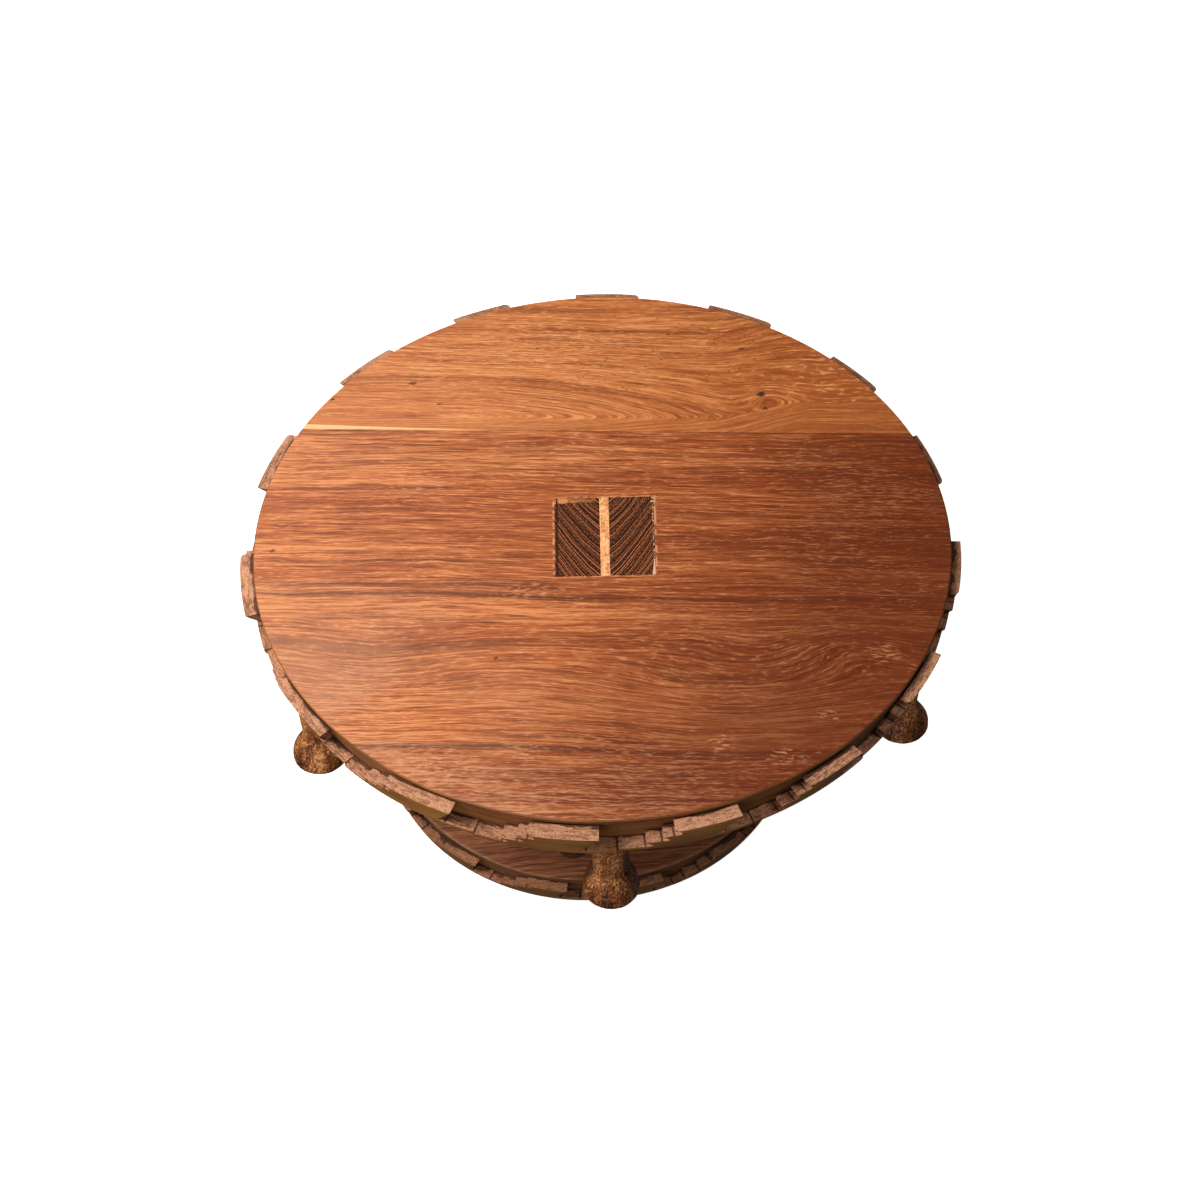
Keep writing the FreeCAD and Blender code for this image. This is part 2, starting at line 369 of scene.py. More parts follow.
class BoardGrain:
    """The bands, growth lines, fibres and limed pores of a board, drawn along its levels of growth."""

    def __init__(self, finish, look, seed):
        self.finish = finish
        self.look = look
        self.seed = seed
        self.x, self.y, self.z = finish.place()
        self.along = self.x * math.cos(look.grain_turn) + self.y * math.sin(look.grain_turn)
        self.across = self.y * math.cos(look.grain_turn) - self.x * math.sin(look.grain_turn)
        self.crowding = finish.noise(self.x * 7 + seed, self.y * 11, self.z * 7, detail=3)

    def wave(self, length_scale, width_scale):
        """Slow noise that bends the growth lines, from -0.5 to 0.5."""
        along = self.along * length_scale + self.seed
        return self.finish.noise(along, self.across * width_scale, self.z * width_scale) - 0.5

    def streaks(self, length_scale, width_scale, shift, detail):
        """Noise drawn out along the growth lines."""
        along = self.along * length_scale + self.seed + shift
        depth = self.z * (width_scale * 0.4) + self.across * (width_scale * 0.12)
        return self.finish.noise(along, self.level * width_scale, depth, detail=detail, roughness=0.6)

    def follow(self, level):
        """Draw the wood along a level of growth, which wanders a little."""
        finish = self.finish
        for length_scale, width_scale, swing in [(1.9, 3.5, 0.026), (9, 26, 0.008), (45, 140, 0.0026)]:
            level = level + self.wave(length_scale, width_scale) * swing
        self.level = level
        self.band = self.streaks(1.6, 38, 0, 3)
        self.growth = finish.noise_along(self.level * 75 + self.seed, detail=2, roughness=0.6)
        self.fibre = self.streaks(22, 640, 5, 3)
        self.fleck = self.streaks(120, 820, 9, 1)
        broken = finish.rise(self.streaks(6, 90, 13, 2), 0.40, 0.60)
        self.hair = finish.rise(finish.size(self.growth - 0.5), 0.050, 0.008) * broken
        self.hollow = finish.rise(self.fibre, 0.42, 0.28)
        crowd = (self.crowding - 0.5) * 0.5 + (self.fibre - 0.5) * 0.3
        self.dash = finish.rise(self.fleck + crowd, 0.62, 0.73)

    def stripe(self, place, width, start, end):
        """A dark growth line at a level of the grain, between two places along it."""
        finish = self.finish
        taper = 0.05
        line = finish.rise(finish.size(self.level - place), width, width * 0.15)
        line = line * finish.rise(self.along, start, start + taper)
        return line * finish.rise(self.along, end, end - taper)

    def colour(self, shade, stripes):
        """The wood's colour before any marks on it, darkened by the given shade, which on the top boards is
        painted shade.
        """
        finish = self.finish
        look = self.look
        tone = (self.band - 0.5) * 0.65 + (self.growth - 0.5) * 0.25 + 0.5 - shade
        tone = tone + (self.fibre - 0.5) * 1.40 + (self.fleck - 0.5) * 0.40
        wood = finish.mix(finish.rise(tone, 0.26, 0.52), look.dark, look.middle)
        wood = finish.mix(finish.rise(tone, 0.48, 0.78), wood, look.light)
        for place, width, start, end, strength in stripes:
            shadow = self.stripe(place, width, start, end) * finish.rise(self.fibre, 0.20, 0.48)
            wood = finish.mix(shadow * strength, wood, look.line)
        wood = finish.mix(self.hair * 0.40 + self.hollow * 0.45, wood, look.line)
        return finish.mix(self.dash * 0.46, wood, look.pale)

    def with_edge(self, wood):
        """The colour of the board with its streaked round edge."""
        finish = self.finish
        level = finish.rise(finish.size(finish.facing(upwards)), 0.50, 0.80)
        streak = finish.noise(self.x * 14, self.y * 14, self.z * 330, detail=3)
        edge = finish.mix(finish.rise(streak, 0.32, 0.68), self.look.wall_dark, self.look.wall_light)
        return finish.mix(level, edge, wood)

    def spots(self, places, flatness, soft):
        """Oval marks given by their place on the board and half their length."""
        ragged = self.finish.noise(self.x * 480, self.y * 700, self.seed, detail=2)
        across = self.x + (ragged - 0.5) * 0.010
        along = self.y + (ragged - 0.5) * 0.006
        marks = 0.0
        for x, y, reach in places:
            marks = self.finish.spot(across, along, (x, y), (reach, reach * flatness), soft) + marks
        return self.finish.rise(marks, 0.0, 1.0)

    def height(self):
        """The relief of the grain: open pores and fibres."""
        return self.fibre * 0.5 + self.fleck * 0.5 - self.hair * 0.4


def front_board_finish(look):
    """Wide front board: straight grain, a flame figure near the front edge and pale scuffs."""
    finish = Finish("front_board_wood")
    grain = BoardGrain(finish, look, 3.0)
    level = grain.across
    for middle, reach, lift in [
        ((0.215, -0.125), (0.045, 0.024), -0.017),
        ((0.105, -0.165), (0.110, 0.050), 0.026),
        ((0.075, -0.120), (0.060, 0.024), -0.008),
        ((-0.180, -0.150), (0.090, 0.050), 0.016),
    ]:
        level = level + finish.hill(grain.along, grain.across, middle, reach) * lift
    grain.follow(level)
    stripes = [
        (-0.070, 0.0034, -0.31, 0.31, 0.80),
        (-0.034, 0.0024, -0.31, -0.03, 0.55),
        (-0.060, 0.0022, -0.31, -0.03, 0.45),
        (-0.118, 0.0070, -0.31, -0.03, 0.45),
        (0.025, 0.0026, 0.04, 0.31, 0.55),
        (0.097, 0.0034, -0.31, 0.31, 0.35),
        (0.118, 0.0040, -0.31, -0.06, 0.15),
        (0.054, 0.0032, -0.31, -0.10, 0.50),
        (-0.228, 0.0044, -0.26, 0.22, 0.75),
        (-0.252, 0.0032, -0.16, 0.14, 0.60),
    ]
    # Painted shade: the front board's wood darkens towards the right, where less light falls.
    wood = grain.colour(grain.x * 0.38, stripes)
    # Darker red wood and painted shade towards the right front edge, where less light falls.
    right_front_stain_and_shade = finish.rise(grain.x * 0.8 - grain.y * 0.5 + (grain.crowding - 0.5) * 0.10, -0.03, 0.25)
    wood = finish.mix(right_front_stain_and_shade * 0.70, wood, look.deep_red_and_shade)
    wood = finish.mix(grain.hollow * right_front_stain_and_shade * 0.35, wood, look.line)
    wood = finish.mix(grain.dash * right_front_stain_and_shade * 0.15, wood, look.light)
    chalk = finish.noise(grain.x * 130, grain.y * 430, grain.z * 100, detail=2)
    places = 0.0
    for middle, radii in [
        ((-0.062, -0.059), (0.050, 0.014)),
        ((-0.020, -0.078), (0.022, 0.009)),
        ((-0.065, -0.229), (0.022, 0.018)),
        ((0.092, -0.225), (0.018, 0.017)),
        ((0.143, -0.241), (0.026, 0.015)),
        ((0.179, -0.201), (0.016, 0.012)),
        ((0.232, -0.137), (0.020, 0.017)),
        ((0.132, 0.101), (0.012, 0.006)),
        ((-0.023, 0.122), (0.012, 0.006)),
        ((-0.150, -0.245), (0.090, 0.034)),
    ]:
        places = finish.spot(grain.x, grain.y, middle, radii, 0.9) + places
    scuffed = finish.rise(chalk, 0.50, 0.64) * finish.rise(places, 0.0, 1.0)
    wood = finish.mix(scuffed * 0.6, wood, look.pale)
    haze = finish.noise(grain.x * 4, grain.y * 6, 3.0, detail=3)
    dusty = finish.rise(grain.x, 0.0, -0.22) * finish.rise(grain.y, 0.0, -0.20)
    wood = finish.mix(dusty * finish.rise(haze, 0.30, 0.60) * 0.45, wood, look.dust)
    out = finish.root(grain.x * grain.x + grain.y * grain.y)
    lip = finish.rise(out, 0.225, 0.290) * finish.rise(grain.y, -0.12, -0.24)
    lip = lip * finish.rise(grain.x, 0.14, -0.04)
    wood = finish.mix(lip * finish.rise(grain.fibre + grain.fleck, 0.92, 1.18) * 0.46, wood, look.dust)
    joint = finish.rise(top_joint - grain.across, 0.0012, 0.0004) * finish.rise(grain.along, -0.14, -0.06)
    wood = finish.mix(joint * 0.7, wood, look.line)
    beside = finish.size(grain.x - post_middle)
    filler = finish.rise(beside, tenon_half_width + 0.0026, tenon_half_width + 0.0010)
    filler = filler * finish.rise(finish.size(grain.y), tenon_half_depth + 0.002, tenon_half_depth)
    crumbs = finish.noise(grain.x * 200, grain.y * 160, grain.z * 200)
    wood = finish.mix(filler * finish.rise(crumbs, 0.45, 0.56) * 0.8, wood, look.pale)
    hole_places = [(-0.090, -0.132, 0.0024), (-0.283, -0.008, 0.0024), (0.223, 0.077, 0.0018)]
    holes = grain.spots(hole_places, 0.8, 0.4)
    smudges = grain.spots([(-0.032, -0.231, 0.0065), (0.246, -0.020, 0.0060)], 0.6, 0.9)
    wood = finish.mix(holes * 0.85 + smudges * 0.6, wood, look.line)
    roughness = grain.fibre * 0.14 + grain.dash * 0.12 + scuffed * 0.15 + 0.40
    finish.surface(grain.with_edge(wood), roughness, grain.height() + scuffed * 0.2 - holes, grain_depth)
    return finish.material


def back_board_finish(look):
    """Narrow back board: a figure of nested points, pits, knots and a sliver of sapwood at the joint."""
    finish = Finish("back_board_wood")
    grain = BoardGrain(finish, look, 11.0)
    axis = finish.rise(grain.along, 0.09, 0.19) * 0.022 + 0.141
    above = grain.across - axis
    away = finish.root(above * above + 0.000006)
    climb = finish.rise(grain.along, -0.13, 0.20) * 0.080 - 0.040
    level = away * 2.2 - above * 1.2 + climb * finish.fade(above * above * 400.0) + 0.141
    level = level + finish.hill(grain.along, grain.across, (0.147, 0.166), (0.022, 0.014)) * -0.012
    grain.follow(level)
    stripes = [
        (0.278, 0.0040, -0.14, 0.02, 0.55),
        (0.271, 0.0035, 0.05, 0.18, 0.55),
        (0.255, 0.0030, -0.10, 0.12, 0.35),
        (0.205, 0.0024, -0.20, 0.14, 0.40),
        (0.172, 0.0022, -0.12, 0.20, 0.40),
    ]
    # Painted shade: the back board's wood darkens towards the right, where less light falls.
    wood = grain.colour(finish.rise(grain.x, 0.04, 0.28) * 0.24, stripes)
    sliver_height = grain.across - top_joint
    sliver_reach = (-0.100 - grain.along) * 0.036
    sliver = finish.rise(sliver_reach - sliver_height, -0.0004, 0.0008)
    wood = finish.mix(sliver * 0.85, wood, look.sapwood)
    speck_spot = finish.vector(grain.x * 95, grain.y * 130, 0)
    specks = finish.node("TexVoronoi", {"voronoi_dimensions": "2D"}, {"Vector": speck_spot, "Scale": 1})
    where = finish.noise(grain.x * 60, grain.y * 60, 7, detail=1)
    region = finish.spot(grain.x, grain.y, (0.055, 0.225), (0.19, 0.085), 0.5)
    pricks = finish.rise(specks, 0.14, 0.07) * finish.rise(where, 0.53, 0.58) * region
    pits = grain.spots([
        (0.066, 0.247, 0.0020),
        (0.057, 0.209, 0.0016),
        (0.098, 0.189, 0.0016),
        (0.015, 0.196, 0.0016),
        (0.074, 0.222, 0.0020),
        (-0.035, 0.262, 0.0014),
        (0.132, 0.226, 0.0036),
        (-0.168, 0.191, 0.0050),
        (-0.143, 0.164, 0.0030),
    ], 0.6, 0.6)
    knot_places = [(0.1465, 0.1667, 0.0048), (0.1495, 0.1486, 0.0028), (-0.240, 0.173, 0.0024)]
    knots = grain.spots(knot_places, 0.8, 0.5)
    marks = finish.rise(pricks * 0.6 + pits * 0.75 + knots, 0.0, 1.0)
    wood = finish.mix(marks * 0.9, wood, look.pit)
    roughness = grain.fibre * 0.14 + grain.dash * 0.12 + 0.40
    finish.surface(grain.with_edge(wood), roughness, grain.height() - marks, grain_depth)
    return finish.material


def base_board_finish(look):
    """Lower boards: darker wood with fine even grain and few pale pores."""
    finish = Finish("base_board_wood")
    grain = BoardGrain(finish, look, 23.0)
    grain.follow(grain.across)
    wood = grain.colour(0.0, [(-0.150, 0.0030, -0.25, 0.25, 0.40)])
    out = finish.root((grain.x - base_middle) * (grain.x - base_middle) + grain.y * grain.y)
    worn = finish.rise(out, base_radius - 0.0040, base_radius - 0.0013)
    wood = finish.mix(worn * finish.rise(grain.crowding, 0.35, 0.6) * 0.5, wood, look.pale)
    roughness = grain.fibre * 0.18 + 0.42
    finish.surface(grain.with_edge(wood), roughness, grain.height(), grain_depth)
    return finish.material


def rim_finish(name, look, middle_x):
    """Rim pieces: fuzzy sawn upper faces, planed olive outer faces and dark ends where pieces meet."""
    finish = Finish(name)
    x, y = finish.place()[:2]
    outwards = finish.node(
        "VectorMath", {"operation": "NORMALIZE"}, {0: finish.vector(x - middle_x, y, 0.0)}, "Vector"
    )
    marks = finish.node("Attribute", {"attribute_name": "grain"}, output="Vector")
    along, out, height = [finish.node("SeparateXYZ", sockets={0: marks}, output=axis) for axis in "XYZ"]
    end_gap, shade, crease = [
        finish.node("Attribute", {"attribute_name": mark}, output="Fac") for mark in rim_marks
    ]
    outer = finish.rise(finish.facing(outwards), 0.45, 0.75)
    fuzz = finish.noise(along * 150, out * 620, height * 420, detail=3, roughness=0.65)
    speck = finish.noise(along * 900, out * 900, height * 900, detail=1)
    patch = finish.noise(along * 34, out * 60, height * 60, detail=3)
    tone = fuzz * 0.9 + speck * 0.55 + patch * 0.4
    sawn = finish.mix(finish.rise(tone, 0.68, 1.12), look.sawn_dark, look.sawn_light)
    crumbs = finish.rise(patch * 0.7 + fuzz * 0.7, 0.80, 0.96)
    sawn = finish.mix(crumbs * 0.22, sawn, look.glue_and_shade)
    # Painted shade, partly darker wood: a piece's shade turns its sawn faces towards the shaded colour.
    sawn = finish.mix(shade, sawn, finish.mix(fuzz * 0.7 + 0.3, look.glue_and_shade, look.shaded))
    # Painted shadow of the gap along the board's wall, with some soot on the inner edge.
    soot_and_wall_gap_shade = finish.rise(out + (patch - 0.5) * 0.012 + (fuzz - 0.5) * 0.006, 0.0036, 0.0014)
    # Painted shade in the corner under each step, with some dirt.
    step_shade_and_dirt = finish.rise(finish.size(crease + (fuzz - 0.5) * 0.001), 0.0013, 0.0003)
    sawn = finish.mix(finish.rise(soot_and_wall_gap_shade + step_shade_and_dirt, 0.0, 1.0) * 0.82, sawn, look.glue_and_shade)
    streak = finish.noise(along * 9, out * 60, height * 420, detail=3)
    cloud = finish.noise(along * 18, out * 20, height * 50)
    tint = finish.rise(streak * 0.7 + cloud * 0.6, 0.42, 0.88)
    planed = finish.mix(tint, look.outer_dark, look.outer_light)
    # Painted shade: a piece's shade also darkens its planed outer faces.
    planed = finish.mix(shade * 0.9, planed, look.glue_and_shade)
    wood = finish.mix(outer, sawn, planed)
    meeting = finish.rise(end_gap, 0.0013, 0.0003)
    wood = finish.mix(meeting * 0.8, wood, look.glue_and_shade)
    roughness = (1.0 - outer) * 0.22 + fuzz * 0.15 + 0.46
    relief = (fuzz + speck * 0.5) * (1.0 - outer) + streak * outer * 0.3
    finish.surface(wood, roughness, relief, 0.00045)
    return finish.material


def post_finish(look):
    """Post: long grain on its sides, pointed rings on its tenon's end, a shim and crumbs of filler."""
    finish = Finish("post_wood")
    place_x, y, z = finish.place()
    x = place_x - post_middle
    sway = finish.noise(x * 40, y * 40, z * 4)
    aside = finish.root(x * x + 0.00002)
    level = y - aside * 1.15 - aside * aside * 9.0 + (sway - 0.5) * 0.005
    growth = finish.noise_along(level / look.ring_width, detail=2, roughness=0.6)
    pores = finish.noise(x * 560, y * 560, z * 30)
    tone = (growth - 0.5) * 1.6 + (pores - 0.5) * 0.6
    ends = finish.mix(finish.rise(tone, -0.06, 0.28), look.heart, look.ring)
    far = tenon_half_depth - y
    streaks = finish.noise(x * 60, y * 700, z * 100)
    thin = finish.mix(finish.rise(streaks, 0.3, 0.7), look.heart, look.shim)
    ends = finish.mix(finish.rise(far, 0.0056, 0.0050) * finish.rise(x, -0.006, -0.009) * 0.8, ends, thin)
    corner_middle = (-tenon_half_width + 0.0065, tenon_half_depth - 0.0030)
    corner = finish.spot(x, y, corner_middle, (0.0062, 0.0034), 0.2)
    ends = finish.mix(corner * 0.9, ends, look.shim)
    crumbs = finish.noise(x * 330, y * 330, z * 200)
    row = finish.rise(finish.size(far - 0.0056), 0.0012, 0.0005)
    right_edge = finish.rise(tenon_half_width - x, 0.0026, 0.0012)
    heap = finish.spot(x, y, (tenon_half_width, -tenon_half_depth), (0.0075, 0.0200), 0.8)
    left_edge = finish.rise(tenon_half_width + x, 0.0012, 0.0006)
    filled = finish.rise(row * 0.7 + right_edge * 0.85 + heap + left_edge * 0.7 + crumbs, 1.30, 1.50)
    ends = finish.mix(filled * 0.85, ends, look.crumb)
    slit = finish.rise(finish.size(tenon_half_width + x - 0.0020), 0.0011, 0.0006)
    ends = finish.mix(slit * 0.9, ends, look.heart)
    fibre = finish.noise(x * 350, y * 350, z * 9, detail=3)
    sides = finish.mix(finish.rise(fibre * 0.6 + growth * 0.5, 0.35, 0.8), look.heart, look.side)
    upward = finish.rise(finish.size(finish.facing(upwards)), 0.6, 0.8)
    wood = finish.mix(upward, sides, ends)
    roughness = pores * 0.2 + 0.45
    finish.surface(wood, roughness, tone * upward + fibre * (1.0 - upward), 0.00022)
    finish.shade("Specular IOR Level", wood_sheen / 2)
    return finish.material


def wedge_finish(look):
    """Wedges: pale wood with its grain along the slot, specks and a pale knot at the far end."""
    finish = Finish("wedge_wood")
    place_x, y, z = finish.place()
    x = place_x - post_middle
    streak = finish.noise(x * 500, y * 40, z * 60, detail=3)
    mottle = finish.noise(x * 420, y * 260, z * 260)
    wood = finish.mix(finish.rise(streak * 0.6 + mottle * 0.6, 0.42, 0.74), look.dark, look.light)
    knot = finish.spot(x, y, (0.0, tenon_half_depth - 0.0050), (0.0040, 0.0040), 0.6)
    wood = finish.mix(knot * finish.rise(mottle, 0.62, 0.40) * 0.8, wood, look.dark)
    finish.surface(wood, streak * 0.2 + 0.42, streak, 0.00015)
    return finish.material


def dowel_finish(look):
    """Dowels inside the boards: plain pale wood with fine grain along them."""
    finish = Finish("dowel_wood")
    x, y, z = finish.place()
    streak = finish.noise(x * 500, y * 20, z * 500, detail=3)
    wood = finish.mix(finish.rise(streak, 0.3, 0.7), look.dark, look.dowel)
    finish.surface(wood, streak * 0.2 + 0.5, streak, 0.00010)
    return finish.material


def coarse_wood(finish, main, look):
    """Coarse dark wood with golden flecks and dark bands: its colour, its flecks and its grit."""
    x, y, z = finish.place()
    fleck = finish.noise(x * 560, y * 560, z * 330, roughness=0.6)
    grit = finish.noise(x * 1000, y * 1000, z * 800, detail=1)
    band = finish.noise(x * 80, y * 80, z * 9)
    tone = (fleck - 0.5) * 1.5 + (grit - 0.5) * 0.6 + (band - 0.5) * 1.2
    wood = finish.mix(finish.rise(tone, -0.34, 0.06), look.dark, main)
    wood = finish.mix(finish.rise(tone, 0.02, 0.44), wood, look.gold)
    return wood, fleck, grit


def pendant_finish(look):
    """Pendants: coarse dark wood with golden flecks."""
    finish = Finish("pendant_wood")
    wood, fleck, grit = coarse_wood(finish, look.brown, look)
    finish.surface(wood, fleck * 0.25 + 0.38, fleck + grit * 0.5, 0.00050)
    return finish.material


def foot_finish(look):
    """Feet: coarse dark wood, with smooth two-tone end grain on the tenons that come through the base."""
    finish = Finish("foot_wood")
    wood, fleck, grit = coarse_wood(finish, look.foot_brown, look)
    x, y, z = finish.place()
    upward = finish.rise(finish.facing(upwards), 0.6, 0.8)
    pores = finish.noise(x * 420, y * 420, z * 40)
    cloud = finish.noise(x * 50, y * 50, z * 4)
    end = finish.mix(finish.rise(pores * 0.5 + cloud * 0.6, 0.30, 0.68), look.dark, look.foot_end)
    end = finish.mix(finish.rise(cloud, 0.60, 0.68) * 0.7, end, look.foot_arc)
    finish.surface(finish.mix(upward, wood, end), fleck * 0.25 + 0.46, fleck + grit * 0.5, 0.00040)
    return finish.material


def nodes_like(start):
    """The names of the CAD nodes that begin with a word, in order."""
    return sorted(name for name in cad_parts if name.startswith(start))


def dress(nodes, material):
    """Give CAD nodes a finish through their material slots."""
    for node in nodes:
        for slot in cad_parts[node].material_slots:
            slot.material = material


def copy_of(node):
    """Copy a CAD node as a piece, with its loose triangles joined and its flat faces made whole."""
    bpy.ops.object.select_all(action="DESELECT")
    piece = bpy.data.objects.new(node + "_finished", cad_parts[node].data.copy())
    bpy.context.scene.collection.objects.link(piece)
    bpy.context.view_layer.objects.active = piece
    piece.select_set(True)
    piece.data.materials.clear()
    bpy.ops.mesh.customdata_custom_splitnormals_clear()
    bpy.ops.object.mode_set(mode="EDIT")
    bpy.ops.mesh.select_all(action="SELECT")
    bpy.ops.mesh.remove_doubles(threshold=merge_distance)
    bpy.ops.mesh.dissolve_limited(angle_limit=flat_angle)
    bpy.ops.object.mode_set(mode="OBJECT")
    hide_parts(node)
    return piece


def round_edges(piece, width):
    """Round the sharp edges of the active piece, and smooth its curved faces."""
    rounding = piece.modifiers.new("rounded_edges", "BEVEL")
    rounding.width = width
    rounding.segments = round_segments
    rounding.limit_method = "ANGLE"
    rounding.angle_limit = sharp_angle
    bpy.ops.object.modifier_apply(modifier=rounding.name)
    bpy.ops.object.shade_smooth_by_angle(angle=smooth_angle)


def settle(piece, material):
    """Give a piece its finish and slot, and let it ride on the table."""
    piece.data.materials.append(material)
    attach(piece, "root")


def bearing_of(points, middle_x):
    """The bearing of a rim piece, seen from the middle of its disc."""
    return math.atan2(sum(p.co.y for p in points), sum(p.co.x - middle_x for p in points))


def turn_from(bearing, place, middle_x):
    """How far a place is turned from a bearing, seen from the middle of its disc."""
    turn = math.atan2(place.y, place.x - middle_x) - bearing
    return (turn + math.pi) % (2 * math.pi) - math.pi


def make_pieces(nodes, material, width):
    """Finish copies of some nodes, with their edges rounded."""
    for node in nodes:
        piece = copy_of(node)
        round_edges(piece, width)
        settle(piece, material)


def round_high_corner(piece, middle_x, width):
    """Round the outer corner where the high block of a rim piece begins."""
    outer_margin = 0.0004
    top_margin = 0.0003
    least_height = 0.003
    corner_segments = 4
    points = piece.data.vertices
    bearing = bearing_of(points, middle_x)
    top = max(p.co.z for p in points)

    def reach(point):
        return math.hypot(point.co.x - middle_x, point.co.y) - point.co.z * math.tan(edge_lean)

    outermost = max(reach(p) for p in points)
    found = []
    for edge in piece.data.edges:
        low, high = sorted((points[index] for index in edge.vertices), key=lambda p: p.co.z)
        outside = min(reach(low), reach(high)) > outermost - outer_margin
        if outside and high.co.z > top - top_margin and high.co.z - low.co.z > least_height:
            found.append((turn_from(bearing, high.co, middle_x), edge.index))
    bpy.ops.object.mode_set(mode="EDIT")
    bpy.ops.mesh.select_mode(type="EDGE")
    bpy.ops.mesh.select_all(action="DESELECT")
    bpy.ops.object.mode_set(mode="OBJECT")
    piece.data.edges[min(found)[1]].select = True
    bpy.ops.object.mode_set(mode="EDIT")
    bpy.ops.mesh.bevel(offset=width, segments=corner_segments, affect="EDGES")
    bpy.ops.object.mode_set(mode="OBJECT")


def inner_corners(mesh):
    """The ends of a mesh's level inner edges, where a step meets the tread below it."""
    least_fold = 0.3
    least_length = 0.004
    level_margin = 0.001
    shape = bmesh.new()
    shape.from_mesh(mesh)
    corners = []
    for edge in shape.edges:
        inner = len(edge.link_faces) == 2 and not edge.is_convex and edge.calc_face_angle() > least_fold
        start, end = [point.co.copy() for point in edge.verts]
        if inner and edge.calc_length() > least_length and abs(start.z - end.z) < level_margin:
            corners.extend([start, end])
    shape.free()
    return corners


def mark_rim(piece, disc, number, shade):
    """Store at each point its place in the rim piece, its gaps to an end and a step, and the piece's painted
    shade.
    """
    grain_shift = 1.7
    tread_margin = 0.003
    far_from_steps = 0.1
    middle_x, radius, surface, undercut = disc
    points = piece.data.vertices
    bearing = bearing_of(points, middle_x)
    turns = [turn_from(bearing, point.co, middle_x) for point in points]
    corners = [(turn_from(bearing, corner, middle_x), corner.z) for corner in inner_corners(piece.data)]
    piece.data.attributes.new("grain", "FLOAT_VECTOR", "POINT")
    for mark in rim_marks:
        piece.data.attributes.new(mark, "FLOAT", "POINT")
    stored = piece.data.attributes
    for index, point in enumerate(points):
        out = math.hypot(point.co.x - middle_x, point.co.y)
        wall = radius - (surface - point.co.z) * math.tan(edge_lean)
        turn = turns[index]
        stored["grain"].data[index].vector = (turn * out + number * grain_shift, out - wall, point.co.z)
        end_gap = min(turn - min(turns), max(turns) - turn) * out
        level = [corner for corner, height in corners if abs(height - point.co.z) < tread_margin]
        step_gap = min((abs(turn - corner) * out for corner in level), default=far_from_steps)
        for mark, value in zip(rim_marks, (end_gap, shade, step_gap - undercut)):
            stored[mark].data[index].value = value
    return bearing


def set_by_hand(piece, middle_x, bearing, gap, lean, swing):
    """Lean a rim piece out on its inner lower edge and swing it round a little, as when fitted by hand."""
    low = min(p.co.z for p in piece.data.vertices)
    near = min(math.hypot(p.co.x - middle_x, p.co.y) for p in piece.data.vertices)
    outwards = Vector((math.cos(bearing), math.sin(bearing), 0))
    foot = Vector((middle_x, 0, low)) + outwards * near
    tangent = Vector((-math.sin(bearing), math.cos(bearing), 0))
    turn = Matrix.Rotation(lean, 4, tangent) @ Matrix.Rotation(swing, 4, "Z")
    piece.data.transform(Matrix.Translation(foot + outwards * gap) @ turn @ Matrix.Translation(-foot))


def make_rim(start, look, disc, shades, seed):
    """Finish one ring of rim pieces round a disc, with a painted shade for each piece."""
    middle_x = disc[0]
    material = rim_finish(start + "_wood", look, middle_x)
    chance = random.Random(seed)
    for number, (node, shade) in enumerate(zip(nodes_like(start), shades)):
        piece = copy_of(node)
        round_high_corner(piece, middle_x, look.corner_round)
        round_edges(piece, look.edge_round)
        bearing = mark_rim(piece, disc, number, shade)
        gap = look.gap * chance.uniform(0.4, 1.0)
        lean = look.lean * chance.uniform(0.2, 1.0)
        set_by_hand(piece, middle_x, bearing, gap, lean, look.swing * chance.uniform(-1.0, 1.0))
        settle(piece, material)


class TopBoards(Operator):
    """Finish the two boards of the table top"""

    bl_idname = "drinks_table.top_boards"
    bl_label = "Top boards"

    def execute(self, context):
        front_wood = front_board_finish(context.scene.drinks_table_front)
        make_pieces(["top_board_front"], front_wood, board_round)
        back_wood = back_board_finish(context.scene.drinks_table_back)
        make_pieces(["top_board_back"], back_wood, board_round)
        return {"FINISHED"}


class BaseBoards(Operator):
    """Finish the two boards of the lower shelf"""

    bl_idname = "drinks_table.base_boards"
    bl_label = "Base boards"

    def execute(self, context):
        wood = base_board_finish(context.scene.drinks_table_base)
        make_pieces(["base_board_front", "base_board_back"], wood, board_round)
        return {"FINISHED"}


class TopRim(Operator):
    """Finish the stepped rim pieces round the table top"""

    bl_idname = "drinks_table.top_rim"
    bl_label = "Top rim"

    def execute(self, context):
        # Painted shade, partly darker wood: the pieces on the right and back right, away from the key light,
        # take the largest shades.
        shades = [0.45, 0.50, 0.50, 0.30, 0.10, 0.10, 0.0, 0.0, 0.0, 0.0, 0.15, 0.0, 0.0, 0.0, 0.30]
        disc = (0.0, top_radius, top_surface, top_undercut)
        make_rim("top_rim_segment", context.scene.drinks_table_rim, disc, shades, 5)
        return {"FINISHED"}


class BaseRim(Operator):
    """Finish the stepped rim pieces round the lower shelf"""

    bl_idname = "drinks_table.base_rim"
    bl_label = "Base rim"

    def execute(self, context):
        # Painted shade: every lower rim piece takes the same shade, darkening its sawn and outer faces under
        # the top.
        shades = [0.45] * len(nodes_like("base_rim_segment"))
        disc = (base_middle, base_radius, base_surface, base_undercut)
        make_rim("base_rim_segment", context.scene.drinks_table_rim, disc, shades, 9)
        return {"FINISHED"}


class Post(Operator):
    """Finish the square post with its two tenons"""

    bl_idname = "drinks_table.post"
    bl_label = "Post"

    def execute(self, context):
        look = context.scene.drinks_table_post
        make_pieces(["post"], post_finish(look), look.edge_round)
        return {"FINISHED"}


